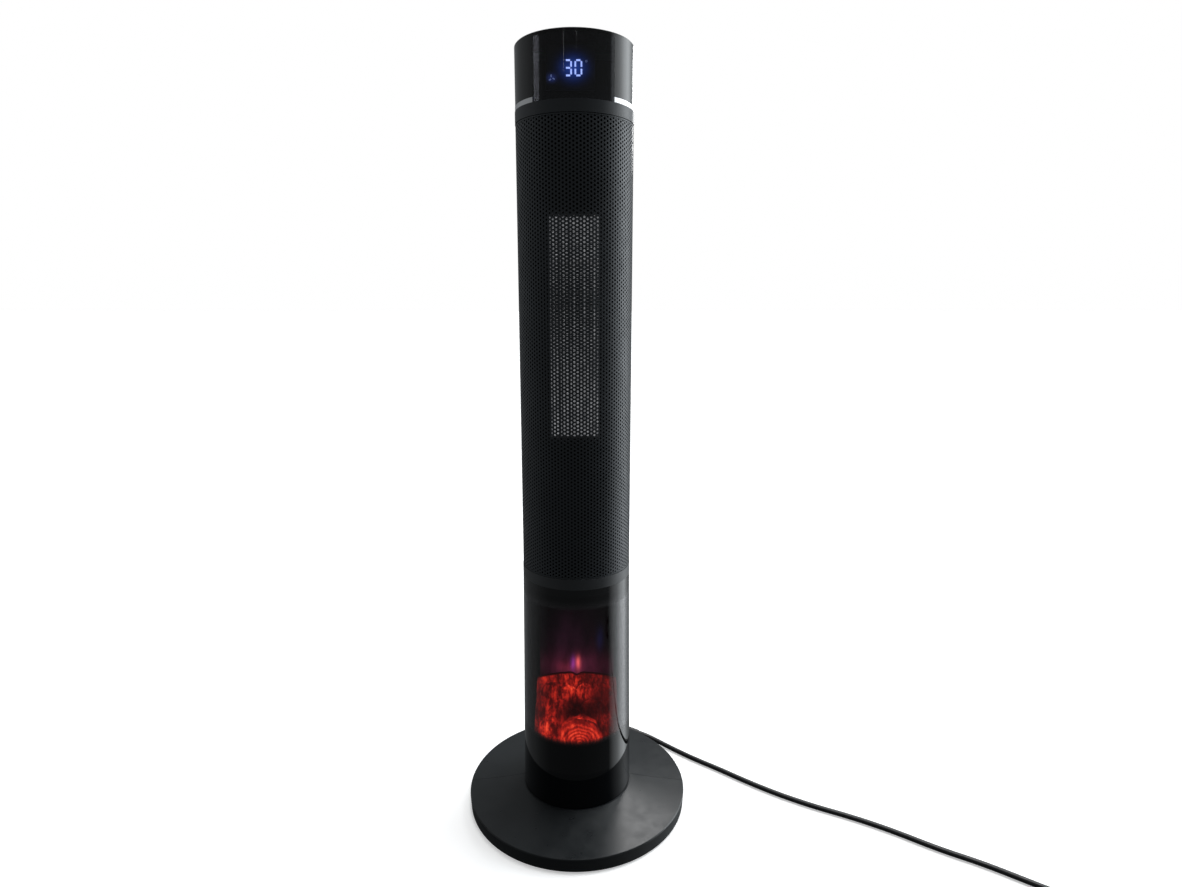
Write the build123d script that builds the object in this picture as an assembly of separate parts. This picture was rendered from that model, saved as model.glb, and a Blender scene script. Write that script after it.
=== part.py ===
from build123d import *
import math
import os

# Ceramic tower heater with a flame window, in millimetres.
# Origin: on the floor under the tower's axis. +Z up, front is -Y.

# ---------------------------------------------------------------- driving sizes
HEIGHT = 977.0            # whole height
BASE_R = 150.0            # base disc
RIM_Z = 17.6              # widest height of the base
LAND_Z = 29.7             # top of the base, under the tower
LAND_R = 60.0             # opening in the base cover
FOOT_R = 125.0            # circle of the rubber feet
FOOT_H = 2.5              # feet under the weight plate
WALL = 2.2                # moulded covers
PLATE_T = 3.0             # steel weight plate
PLATE_TOP = FOOT_H + PLATE_T
SCREW_CIRCLE = 107.5      # base screws and their posts
SCREW_HOLE = 1.7          # clearance hole of every small screw
SCREW_R = 1.5

TOWER_Z = 30.2            # underside of the tower
WINDOW_TOP = 335.0        # top of the flame window
MESH_Z0 = 348.8           # perforated mesh, lower edge
MESH_Z1 = 892.0           # perforated mesh, upper edge
SILVER_Z0 = 905.7         # silver trim ring
SILVER_Z1 = 911.2
FOOT_TOWER_R = 74.1       # tower radius at the foot
WINDOW_MID_R = 72.1       # half way up the window
NECK_R = 70.6             # at the top of the window
MESH_R = 69.8
REAR_R = 70.3
HEAD_R = 70.0
LENS_R = 70.2
SHELL_T = 2.4             # tower shells
RING_BORE = 66.0          # inside of the trim rings
FRONT_HALF = 88.0         # half the front's angle, degrees
DISPLAY_HALF = 40.5       # half the display lens's angle, degrees

HUB_R = 16.0              # fixed pivot tube
HUB_BORE = 12.0
FLANGE_TOP = 28.6         # top of the hub's flange, under the thrust washer
RUN = 0.05                # radial clearance of a running fit
GAP = 0.3                 # clearance between bodies that move

GEAR_MODULE = 1.5
GEAR_TEETH = 48
PINION_TEETH = 12
PRESSURE = 25.0
GEAR_Z0 = 37.0
GEAR_H = 6.0
GEAR_TOP = GEAR_Z0 + GEAR_H
GEAR_CENTRES = GEAR_MODULE * (GEAR_TEETH + PINION_TEETH) / 2

HEAT_Z0 = 520.0           # heating element, lower end
HEAT_Z1 = 791.0
HEAT_HALF = 33.8          # half its width
HEAT_Y0 = -46.0           # its front face
HEAT_Y1 = -29.0
HEAT_OPEN = 30.4          # half the width of its opening
BAR_PITCH = 11.8          # from one electrode strip to the next
DUCT_Y = HEAT_Y1 + 2.0    # rear of the panel behind the heating element
DUCT_HALF = 60.0          # half the width of that panel, edge to edge
INTAKE_Z0 = 420.0         # opening in the rear shell
INTAKE_Z1 = 830.0
INTAKE_HALF = 44.0
WHEEL_Y = 12.0            # axis of the blower wheel
WHEEL_R = 24.0
SCROLL_R = 30.5           # outside of the blower's housing
SCROLL_IN = 28.9
SHAFT_R = 3.0

FIRE_Z0 = 100.0           # flame box
FIRE_Z1 = 330.0
FLAME_Y = 24.0            # axis of the flame rotor
FLAME_Z = 150.0

BUTTON_R = 6.4
BUTTON_PITCH = 19.0
BUTTON_Y = -22.0
BUTTON_NAMES = ("power", "heat", "timer", "swing", "flame")

RELIEF_START = (53.0, 127.5, 11.4)
RELIEF_HEADING = math.radians(52.0)
RELIEF_R = 5.9
RELIEF_END_R = 4.2
CORD_D = 7.0
CORD_LENGTH = 1800.0
COIL_TURN_D = 79.0        # middle of the coil's turns
COIL_X = 606.0
COIL_Y = -256.0
COIL_LAYERS = 3
PLUG_OFFSET = 33.0        # the plug lies on the far side of the coil
# Free run of the cord, from the strain relief's end along the floor to the coil.
CORD_ROUTE = [
    (95.0, 130.0, 9.5), (110.0, 125.2, 6.6), (126.5, 113.5, 4.4), (148.0, 95.0, 3.5),
    (177.0, 70.5, 3.5), (210.0, 46.5, 3.5), (246.0, 17.5, 3.5), (284.0, -9.5, 3.5),
    (326.0, -34.0, 3.5), (372.0, -55.5, 3.5), (418.0, -82.0, 3.5), (462.0, -113.5, 3.5),
    (508.0, -139.0, 3.5), (551.0, -170.0, 3.5), (594.6, -199.8, 3.5), (627.5, -218.8, 3.5),
]

PLUNGER_R = 4.0
PLUNGER_Y = 85.0
ROCKER_W = 15.0
ROCKER_H = 21.0
ROCKER_Z = 84.0
BUTTON_X = [BUTTON_PITCH * (index - 2) for index in range(5)]
CAP_Z = HEIGHT - 3.4      # underside of the top panel
DISPLAY_X = 0.1           # middle of the digits
DISPLAY_Z = 930.7         # lowest bar of the digits
DISPLAY_Y = -61.5         # front face of the display module
DIGIT_W = 6.6
DIGIT_H = 15.4
BAR_T = 1.8
BAR_DEPTH = 0.4
ICON_X = -23.4
ICON_Z = 928.0
SCREW_Z = (372.0, 868.0)  # screws of the rear shell
DUCT_SCREW_Z = (384.0, 846.0)
BOARD_Z = 74.0            # underside of the power board
BOARD_POSTS = [(-40.0, -42.0), (40.0, -42.0), (-40.0, 24.0), (40.0, 24.0)]

os.makedirs("parts", exist_ok=True)
built = {}


def save(name, shape):
    """Write one sub-part, as a single solid or a group of separate solids."""
    solids = shape.solids()
    body = solids[0] if len(solids) == 1 else Compound(children=solids)
    built[name] = body
    export_step(body, "parts/" + name + ".step")


# ---------------------------------------------------------------- small helpers
def disc(radius, z0, z1, x=0.0, y=0.0):
    return Pos(x, y, (z0 + z1) / 2) * Cylinder(radius, z1 - z0)


def ring(r_out, r_in, z0, z1, x=0.0, y=0.0):
    return disc(r_out, z0, z1, x, y) - disc(r_in, z0 - 1, z1 + 1, x, y)


def block(x0, x1, y0, y1, z0, z1):
    centre = Pos((x0 + x1) / 2, (y0 + y1) / 2, (z0 + z1) / 2)
    return centre * Box(x1 - x0, y1 - y0, z1 - z0)


def front_wedge(half, z0, z1, reach=200.0):
    """Everything within `half` degrees of the front (-Y), under 90 degrees."""
    angle = math.radians(half)
    side = reach * math.tan(angle) if half < 45 else reach
    depth = reach if half < 45 else reach / math.tan(angle)
    if half < 45:
        points = [(0, 0), (side, -depth), (-side, -depth)]
    else:
        points = [(0, 0), (side, -depth), (side, -reach), (-side, -reach), (-side, -depth)]
    face = make_face(Polyline(*points, close=True))
    return Pos(0, 0, z0) * extrude(face, z1 - z0)


def spin(points):
    """Turn a closed outline of (radius, height) points about Z."""
    outline = Polyline(*[(r, 0, z) for r, z in points], close=True)
    return revolve(make_face(outline), Axis.Z)


def spots(radius, count, start=0.0):
    """Evenly spaced places on a circle, the first at `start` degrees from +X."""
    places = []
    for index in range(count):
        angle = math.radians(start + 360.0 * index / count)
        places.append((radius * math.cos(angle), radius * math.sin(angle)))
    return places


def pan_screw(x, y, seat, length):
    """A screw driven upwards: its head hangs below `seat`, its shank rises from it."""
    return disc(3.2, seat - 1.8, seat, x, y) + disc(SCREW_R, seat, seat + length, x, y)


def radial_screw(angle, r_head, z, length):
    """A screw pointing at the axis; angle is from +X, in degrees."""
    head = Cylinder(3.2, 1.6)
    shank = Pos(0, 0, -0.8 - length / 2) * Cylinder(SCREW_R, length)
    place = Rot(0, 0, angle) * Pos(r_head, 0, z) * Rot(0, 90, 0)
    return place * (head + shank)


def involute_gear(teeth, z0, height, bore, turn=0.0, slack=0.12):
    """External spur gear with a tooth centred on +X, thinned for backlash."""
    pitch_r = GEAR_MODULE * teeth / 2
    base_r = pitch_r * math.cos(math.radians(PRESSURE))
    tip_r = pitch_r + 0.9 * GEAR_MODULE
    root_r = pitch_r - 1.25 * GEAR_MODULE
    start_r = max(base_r, root_r + 0.2)

    def roll(r):
        ratio = math.sqrt(max((r / base_r) ** 2 - 1, 0.0))
        return ratio - math.atan(ratio)

    half_pitch = math.pi / (2 * teeth) - slack / (2 * pitch_r)

    def flank(r):
        return half_pitch + roll(pitch_r) - roll(r)

    steps = [start_r + (tip_r - start_r) * i / 5 for i in range(6)]
    points = []
    for tooth in range(teeth):
        centre = 2 * math.pi * tooth / teeth + math.radians(turn)
        side = [(root_r, flank(start_r) + 0.012)] + [(r, flank(r)) for r in steps]
        for r, a in side:
            points.append((r * math.cos(centre - a), r * math.sin(centre - a)))
        for r, a in reversed(side):
            points.append((r * math.cos(centre + a), r * math.sin(centre + a)))
    gear = extrude(make_face(Polyline(*points, close=True)), height)
    return Pos(0, 0, z0) * gear - disc(bore, z0 - 1, z0 + height + 1)


# ---------------------------------------------------------------- base
def base_shell():
    """Hollow cover of the base, rising in a shallow curve to the tower."""
    low_r = BASE_R - 1.0
    under = 1.5
    rim = (BASE_R, 0, RIM_Z)
    edge = (BASE_R - 0.9, 0, RIM_Z + 1.9)
    crest = (76.0, 0, LAND_Z)
    crest_in = (76.0, 0, LAND_Z - WALL)
    edge_in = (BASE_R - 3.3, 0, RIM_Z - 0.4)
    outline = [
        Line((low_r, 0, under), rim),
        ThreePointArc(rim, (BASE_R - 0.15, 0, RIM_Z + 1.2), edge),
        ThreePointArc(edge, (110.0, 0, 24.1), crest),
        Line(crest, (LAND_R, 0, LAND_Z)),
        Line((LAND_R, 0, LAND_Z), (LAND_R, 0, LAND_Z - WALL)),
        Line((LAND_R, 0, LAND_Z - WALL), crest_in),
        ThreePointArc(crest_in, (109.5, 0, 21.9), edge_in),
        Line(edge_in, (low_r - WALL, 0, under)),
        Line((low_r - WALL, 0, under), (low_r, 0, under)),
    ]
    return revolve(make_face(outline), Axis.Z)


def make_base():
    shell = base_shell()
    aim = (math.cos(RELIEF_HEADING), math.sin(RELIEF_HEADING), 0)
    shell -= Plane(origin=RELIEF_START, z_dir=aim) * Cylinder(RELIEF_R + 2.4, 44)
    for x, y in spots(SCREW_CIRCLE, 6, 30):
        shell += ring(4.0, SCREW_HOLE, PLATE_TOP, 23.2, x, y)
    seam = 0.15
    save("base_front_cover", shell & block(-160, 160, -160, -seam, 0, 40))
    save("base_rear_cover", shell & block(-160, 160, seam, 160, 0, 40))

    plate = disc(BASE_R - 4.0, FOOT_H, PLATE_TOP)
    plate -= disc(HUB_BORE, 0, 10)
    plate -= disc(PLUNGER_R + GAP, 0, 10, 0, PLUNGER_Y)
    for x, y in spots(SCREW_CIRCLE, 6, 30):
        plate -= disc(SCREW_HOLE, 0, 10, x, y)
    save("base_plate", plate)

    feet = [disc(9.0, 0, FOOT_H, x, y) for x, y in spots(FOOT_R, 6, 30)]
    save("rubber_feet", Compound(children=feet))

    screws = [pan_screw(x, y, FOOT_H, 12.0) for x, y in spots(SCREW_CIRCLE, 6, 30)]
    save("base_screws", Compound(children=screws))


def make_pivot():
    hub = ring(HUB_R, HUB_BORE, PLATE_TOP, GEAR_TOP + 2.0)
    hub += ring(30.0, HUB_BORE, PLATE_TOP, PLATE_TOP + 4.0)
    hub += ring(28.0, HUB_BORE, FLANGE_TOP - 3.6, FLANGE_TOP)
    for index in range(6):
        rib = block(HUB_R - 0.2, HUB_R + 8.4, -1.2, 1.2, PLATE_TOP + 3.5, FLANGE_TOP - 3.1)
        hub += Rot(0, 0, 60 * index) * rib
    clip_z = GEAR_TOP + 0.1
    groove_r = HUB_R - 1.0
    hub -= ring(HUB_R + 1, groove_r, clip_z, clip_z + 1.2)
    save("pivot_hub", hub)
    save("thrust_washer", ring(27.5, HUB_R + 0.1, FLANGE_TOP, TOWER_Z - RUN))
    gear = involute_gear(GEAR_TEETH, GEAR_Z0, GEAR_H, HUB_R + 0.02)
    for x, y in spots(25.0, 6):
        gear -= disc(5.0, 0, 60, x, y)
    save("swing_ring_gear", gear)
    clip = ring(18.5, groove_r + 0.02, clip_z, clip_z + 1.2)
    clip -= block(-3, 3, 0, 30, 30, 60)
    save("hub_clip", clip)


def make_tip_switch():
    body = block(-9, 9, PLUNGER_Y - 8, PLUNGER_Y + 8, PLATE_TOP, 21.0)
    body -= disc(PLUNGER_R + RUN, 0, 17.2, 0, PLUNGER_Y)
    save("tip_switch", body)
    plunger = disc(PLUNGER_R, 0.9, 16.8, 0, PLUNGER_Y)
    plunger += disc(PLUNGER_R - 0.8, 0.0, 1.0, 0, PLUNGER_Y)
    save("tip_over_plunger", plunger)


# ---------------------------------------------------------------- cord
def make_strain_relief():
    """Ribbed, tapered boot that bends from the base's side towards the cord."""
    start = Vector(*RELIEF_START)
    aim = Vector(math.cos(RELIEF_HEADING), math.sin(RELIEF_HEADING), 0)
    end = Vector(*CORD_ROUTE[0])
    away = (Vector(*CORD_ROUTE[1]) - end).normalized()
    path = Bezier(start, start + aim * 20.0, end - away * 22.0, end)
    core_start = Plane(origin=path @ 0, z_dir=path % 0)
    boot = sweep(core_start * Circle(RELIEF_END_R), path=path)
    ribs = 9
    for index in range(ribs):
        share = (index + 0.5) / (ribs + 0.4)
        here = Plane(origin=path @ share, z_dir=path % share)
        radius = RELIEF_R + (RELIEF_END_R - RELIEF_R) * share
        boot += here * Cylinder(radius, 3.1)
    save("strain_relief", boot)
    print("strain relief %.1f mm long" % path.length)


def make_cord():
    route = [Vector(*point) for point in CORD_ROUTE]
    radii = []
    for before, here, after in zip(route, route[1:], route[2:]):
        turn = (here - before).get_angle(after - here)
        shorter = min((here - before).length, (after - here).length)
        radii.append(0.45 * shorter / math.tan(math.radians(turn) / 2))
    path = FilletPolyline(*route, radius=radii)
    start = Plane(origin=path @ 0, z_dir=path % 0)
    tube = sweep(start * Circle(CORD_D / 2), path=path)
    save("cord", tube)
    print("cord run %.1f mm, radii %s" % (path.length, [round(r) for r in radii]))
    section = math.pi * (CORD_D / 2) ** 2
    print("cord volume %.0f, section x length %.0f" % (tube.volume, section * path.length))
    print("cord left for the coil %.1f mm" % (CORD_LENGTH - path.length))
    print("largest run %.1f" % max((b - a).length for a, b in zip(route, route[1:])))

    end = route[-1]
    out = COIL_TURN_D / 2 + CORD_D
    inner = COIL_TURN_D / 2 - CORD_D
    coil = ring(out, inner, 0.0, COIL_LAYERS * CORD_D, COIL_X, COIL_Y)
    reach = Vector(COIL_X, COIL_Y, end.Z) - end
    print("coil starts %.1f mm from its centre, ring %.1f to %.1f" % (reach.length, inner, out))
    coil -= tube
    save("cord_coil", coil)


def make_plug():
    x, y, z = COIL_X, COIL_Y - PLUG_OFFSET, COIL_LAYERS * CORD_D
    half = 17.0
    grip = extrude(RectangleRounded(17.0, 26.0, 6.0), half, both=True)
    boot = Pos(0, 0, -half - 12.0) * Cone(4.2, 6.5, 24.0)
    save("plug", Pos(x, y, z + 8.6) * Rot(0, 90, 0) * (grip + boot))
    pins = []
    for side in (-6.35, 6.35):
        pins.append(block(x + half, x + 2 * half, y + side - 3.2, y + side + 3.2, z + 7.85, z + 9.35))
    save("plug_pins", Compound(children=pins))


# ---------------------------------------------------------------- tower, lower part
def window_profile():
    """Cross-section of the flared shell of the flame section, in the XZ plane."""
    low, middle, top = (FOOT_TOWER_R, TOWER_Z), (WINDOW_MID_R, 182.6), (NECK_R, WINDOW_TOP)
    outer = [(r, 0, z) for r, z in (low, middle, top)]
    inner = [(r - SHELL_T, 0, z) for r, z in (low, middle, top)]
    return make_face([
        Spline(*outer),
        Line(outer[2], inner[2]),
        Spline(*reversed(inner)),
        Line(inner[0], outer[0]),
    ])


def make_lower_tower():
    front_start = Rot(0, 0, -90 - FRONT_HALF) * window_profile()
    save("window_lens", revolve(front_start, Axis.Z, 2 * FRONT_HALF))
    rear_start = Rot(0, 0, -90 + FRONT_HALF) * window_profile()
    rear = revolve(rear_start, Axis.Z, 360 - 2 * FRONT_HALF)
    half_w = ROCKER_W / 2
    half_h = ROCKER_H / 2
    rear -= block(-half_w, half_w, 40, 90, ROCKER_Z - half_h, ROCKER_Z + half_h)
    save("lower_rear_housing", rear)

    plate = disc(FOOT_TOWER_R - SHELL_T - 0.4, TOWER_Z, TOWER_Z + 4.0)
    plate += disc(20.0, TOWER_Z + 4.0, GEAR_Z0 - 0.4)
    plate -= disc(HUB_R + RUN, 0, 60)
    for x in (-17.5, 17.5):
        plate += disc(3.5, TOWER_Z + 3.0, 45.6, x, GEAR_CENTRES + 3.0)
    for x, y in BOARD_POSTS:
        plate += disc(3.0, TOWER_Z + 3.0, BOARD_Z, x, y)
    save("foot_plate", plate)


def make_swing_drive():
    gear = involute_gear(PINION_TEETH, GEAR_Z0, GEAR_H, 2.5, turn=-90.0 + 180.0 / PINION_TEETH)
    save("swing_pinion", Pos(0, GEAR_CENTRES, 0) * gear)
    motor = disc(14.0, 47.0, 66.0, 0, GEAR_CENTRES + 3.0)
    motor += block(-21, 21, GEAR_CENTRES - 2, GEAR_CENTRES + 8, 45.6, 47.0)
    motor += disc(2.5 - RUN, 36.0, 47.0, 0, GEAR_CENTRES)
    save("swing_motor", motor)


def make_flame():
    side = [(-60, -30), (-48, 40), (48, 40), (60, -30)]
    outer = make_face(Polyline(*side, close=True))
    inner_side = [(-58.2, -31), (-46.5, 38.4), (46.5, 38.4), (58.2, -31)]
    inner = make_face(Polyline(*inner_side, close=True))
    box = extrude(Pos(0, 0, FIRE_Z0) * outer, FIRE_Z1 - FIRE_Z0)
    box -= extrude(Pos(0, 0, FIRE_Z0 + 1.6) * inner, FIRE_Z1 - FIRE_Z0 - 3.2)
    floor = front_wedge(62, FIRE_Z0, FIRE_Z0 + 1.6) & disc(68.0, FIRE_Z0, FIRE_Z0 + 1.6)
    floor -= block(-80, 80, -30, 80, 0, 400)
    box += floor
    save("fire_box", box)

    side = Polyline((-66, 106), (-66, 120), (-52, 134), (-8, 186), (2, 186), (2, 106), close=True)
    wedge = extrude(Plane.YZ * make_face(side), 70, both=True)
    bed = wedge & disc(66.0, 100, 200)
    plan = Polyline((-52, 3), (-58, -31), (-58, -70), (58, -70), (58, -31), (52, 3), close=True)
    bed &= extrude(Pos(0, 0, 100) * make_face(plan), 100)

    lump_places = [(-38, -34, 148, 13), (36, -36, 147, 12), (-14, -28, 160, 13), (14, -30, 158, 12)]
    lump_places += [(0, -52, 130, 13), (-30, -12, 178, 10), (30, -12, 178, 10), (0, -8, 182, 9)]
    for x, y, z, radius in lump_places:
        bed += Pos(x, y, z) * Sphere(radius)
    save("ember_bed", bed)

    save("flame_screen", block(-51.0, 51.0, 5.0, 6.5, FIRE_Z0 + 1.6, FIRE_Z1 - 1.6))
    shaft_r = 1.5
    rotor = Pos(-5, FLAME_Y, FLAME_Z) * Rot(0, 90, 0) * Cylinder(shaft_r, 82.0)
    for index in range(9):
        turn = Rot(35.0 * index, 0, 18)
        rotor += Pos(-40.0 + 8.5 * index, FLAME_Y, FLAME_Z) * turn * Box(0.8, 22.0, 9.0)
    save("flame_rotor", rotor)
    motor = Cylinder(9.0, 9.0) - Cylinder(shaft_r + RUN, 9.0)
    save("flame_motor", Pos(41.5, FLAME_Y, FLAME_Z) * Rot(0, 90, 0) * motor)
    lower_board = block(-40, 40, -44, -12, FIRE_Z0 + 2.6, FIRE_Z0 + 4.2)
    rear_board = block(-36, 36, 36.4, 38.0, FLAME_Z - 18, FLAME_Z + 18)
    save("led_boards", Compound(children=[lower_board, rear_board]))


def make_electrics():
    board = block(-44, 44, -46, 28, BOARD_Z, 75.6)
    board += block(-36, -18, -34, -16, 75.0, 91.0)
    board += block(-8, 10, -36, -12, 75.0, 93.0)
    board += disc(8.0, 75.0, 95.0, 28, -22)
    board += block(-34, 30, 6, 18, 75.0, 87.0)
    save("power_board", board)

    half_w = ROCKER_W / 2
    half_h = ROCKER_H / 2
    frame = rocker_block(half_w + 1.6, half_h + 1.6, 73.6, 75.4)
    frame += rocker_block(half_w - 0.1, half_h - 0.1, 56.0, 73.8)
    frame -= rocker_block(half_w - 2.0, half_h - 2.0, 62.0, 76.0)
    save("switch_frame", frame)
    key_half = half_h - 3.5
    slab = make_face(Polyline(
        (66.0, -3.0), (72.4, -key_half), (75.2, -key_half), (74.0, 0.0),
        (72.6, key_half), (69.6, key_half), (66.0, 3.0), close=True,
    ))
    key = extrude(Plane.YZ * slab, half_w - 2.4, both=True)
    pin = Pos(0, 68.0, 0) * Rot(0, 90, 0) * Cylinder(1.6, 2 * (half_w - 2.4) + 0.6)
    save("rocker_switch", Pos(0, 0, ROCKER_Z) * (key + pin))


def rocker_block(half_w, half_h, y0, y1):
    """A block centred on the rocker switch, seen from behind."""
    return block(-half_w, half_w, y0, y1, ROCKER_Z - half_h, ROCKER_Z + half_h)


# ---------------------------------------------------------------- tower, air section
def trim_ring(z0, z1, web_z0):
    """Ring between two sections, with a web across it and a hole for the wires."""
    ring_part = ring(NECK_R, RING_BORE, z0, z1)
    ring_part += disc(RING_BORE + 0.2, web_z0, web_z0 + 2.8)
    return ring_part - disc(6.0, z0 - 20, z1 + 20, 40, 40)


def make_mid():
    save("mid_ring", trim_ring(WINDOW_TOP, MESH_Z0, WINDOW_TOP + 0.6))
    wedge = front_wedge(FRONT_HALF, 300, 1000)
    mesh = ring(MESH_R, MESH_R - 1.0, MESH_Z0, MESH_Z1)
    save("mesh_grille", mesh & wedge)

    rear = ring(REAR_R, REAR_R - SHELL_T, MESH_Z0, MESH_Z1) - wedge
    rear -= block(-INTAKE_HALF, INTAKE_HALF, 20, 90, INTAKE_Z0, INTAKE_Z1)
    screws = []
    for side in (-62, 62):
        for z in SCREW_Z:
            place = Rot(0, 0, 90 + side) * Pos(REAR_R, 0, z) * Rot(0, 90, 0)
            rear -= place * Pos(0, 0, -0.9) * Cylinder(3.4, 3.4)
            rear -= place * Pos(0, 0, -5.0) * Cylinder(SCREW_HOLE, 14)
            screws.append(radial_screw(90 + side, REAR_R - 0.2, z, 9.0))
    save("rear_shell", rear)
    save("shell_screws", Compound(children=screws))
    save("upper_ring", trim_ring(MESH_Z1, SILVER_Z0, SILVER_Z0 - 3.4))


def make_filter():
    slack = 0.4
    half = INTAKE_HALF - slack
    low = INTAKE_Z0 + slack
    high = INTAKE_Z1 - slack
    panel = ring(REAR_R, REAR_R - SHELL_T, low, high) & block(-half, half, 20, 90, low, high)
    slots = []
    for index in range(30):
        z = INTAKE_Z0 + 20.0 + 12.6 * index
        for x in (-27.5, 0.0, 27.5):
            slots.append(block(x - 11.5, x + 11.5, 30, 90, z, z + 6.0))
    save("filter_panel", panel - slots)
    net_r = REAR_R - SHELL_T - 0.2
    net = ring(net_r, net_r - 0.8, INTAKE_Z0 + 14, INTAKE_Z1 - 12)
    save("filter_net", net & block(-41, 41, 20, 90, INTAKE_Z0, INTAKE_Z1))


def make_heater():
    low = HEAT_Z0 + 4
    high = HEAT_Z1 - 4
    frame = block(-HEAT_HALF, HEAT_HALF, HEAT_Y0, HEAT_Y1, HEAT_Z0, HEAT_Z1)
    frame -= block(-HEAT_OPEN, HEAT_OPEN, -90, 0, low, high)
    save("heater_frame", frame)
    bars = []
    cells = []
    for index in range(6):
        x = BAR_PITCH * (index - 2.5)
        bars.append(block(x - 0.9, x + 0.9, HEAT_Y0 + 1, HEAT_Y1 - 1, low, high))
    for index in range(5):
        x = BAR_PITCH * (index - 2)
        cells.append(block(x - 5.0, x + 5.0, HEAT_Y0 + 2, HEAT_Y1 - 2, low + 1, high - 1))
    save("heater_bars", Compound(children=bars))
    save("ceramic_core", Compound(children=cells))
    save("thermal_cutout", block(-12, 12, DUCT_Y, DUCT_Y + 8, HEAT_Z1 + 10, HEAT_Z1 + 26))


def make_duct():
    """Dark panel behind the mesh, round the heating element, with sides that close the gap."""
    low = MESH_Z0 + 0.4
    high = MESH_Z1 - 0.4
    panel = block(-HEAT_HALF, HEAT_HALF, HEAT_Y1, DUCT_Y, 376, 858)
    panel += block(-DUCT_HALF, DUCT_HALF, HEAT_Y1, HEAT_Y1 + 1.0, low, high)
    for side in (-1, 1):
        edge = side * (DUCT_HALF - 0.5)
        panel += block(edge - 0.5, edge + 0.5, HEAT_Y1, 28.0, low, high)
    panel -= block(-HEAT_OPEN, HEAT_OPEN, -60, 0, HEAT_Z0 + 4, HEAT_Z1 - 4)
    screws = []
    for z in DUCT_SCREW_Z:
        place = Pos(0, HEAT_Y1, z) * Rot(90, 0, 0)
        panel -= place * Cylinder(SCREW_HOLE, 20)
        head = Pos(0, 0, 1.0) * Cylinder(4.0, 2.0)
        shank = Pos(0, 0, -5.0) * Cylinder(SCREW_R, 10.0)
        screws.append(place * (head + shank))
    save("duct_panel", panel)
    save("duct_screws", Compound(children=screws))


def make_blower():
    z0, z1 = HEAT_Z0 - 4, HEAT_Z1 + 4
    cut_y = WHEEL_Y - 12
    scroll = ring(SCROLL_R, SCROLL_IN, z0, z1, 0, WHEEL_Y)
    scroll -= block(-34, 34, -60, cut_y, z0 - 1, z1 + 1)
    scroll -= block(4, 60, cut_y, 90, z0 - 1, z1 + 1)
    left = block(-SCROLL_R, -SCROLL_IN, DUCT_Y, WHEEL_Y, z0, z1)
    right = block(SCROLL_IN, SCROLL_R, DUCT_Y, cut_y + 2, z0, z1)
    tongue = block(25.6, SCROLL_R, cut_y, cut_y + 2, z0, z1)
    housing = scroll + left + right + tongue
    for low in (z0 - 3, z1):
        plate = disc(33.0, low, low + 3, 0, WHEEL_Y) + block(-31, 31, DUCT_Y, WHEEL_Y, low, low + 3)
        housing += plate - disc(4.5, low - 1, low + 4, 0, WHEEL_Y)
    save("blower_housing", housing)

    motor = disc(20.0, z0 - 44, z0 - 3, 0, WHEEL_Y)
    motor -= disc(SHAFT_R + RUN, z0 - 14, z0, 0, WHEEL_Y)
    save("blower_motor", motor)
    save("blower_bearing", ring(7.0, SHAFT_R + RUN, z1 + 3, z1 + 9, 0, WHEEL_Y))

    wheel = disc(SHAFT_R, z0 - 13, z1 + 8.5, 0, WHEEL_Y)
    for z in (HEAT_Z0, (HEAT_Z0 + HEAT_Z1) / 2 - 1, HEAT_Z1 - 2):
        wheel += disc(WHEEL_R, z, z + 2, 0, WHEEL_Y)
    inner = ThreePointArc((17.5, 0), (21.0, 0.9), (WHEEL_R - 0.4, 3.6))
    outer = ThreePointArc((17.3, 0.8), (20.7, 1.7), (WHEEL_R - 1.0, 4.3))
    section = make_face([inner, Line(inner @ 1, outer @ 1), outer, Line(outer @ 0, inner @ 0)])
    blade = extrude(Pos(0, 0, HEAT_Z0 + 0.5) * section, HEAT_Z1 - HEAT_Z0 - 1.0)
    wheel += [Pos(0, WHEEL_Y, 0) * Rot(0, 0, 15.0 * index) * blade for index in range(24)]
    save("blower_wheel", wheel)


# ---------------------------------------------------------------- head
def make_head():
    lens_wedge = front_wedge(DISPLAY_HALF, 880, 1000)
    shell_wedge = front_wedge(DISPLAY_HALF + 0.25, 880, 1000)
    silver = ring(LENS_R, RING_BORE, SILVER_Z0, SILVER_Z1) - shell_wedge
    save("silver_ring", silver)
    shell = ring(HEAD_R, HEAD_R - SHELL_T, SILVER_Z1, CAP_Z) - shell_wedge
    save("head_shell", shell)
    lens = ring(LENS_R, LENS_R - 2.0, SILVER_Z0, CAP_Z) & lens_wedge
    save("display_lens", lens)


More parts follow.
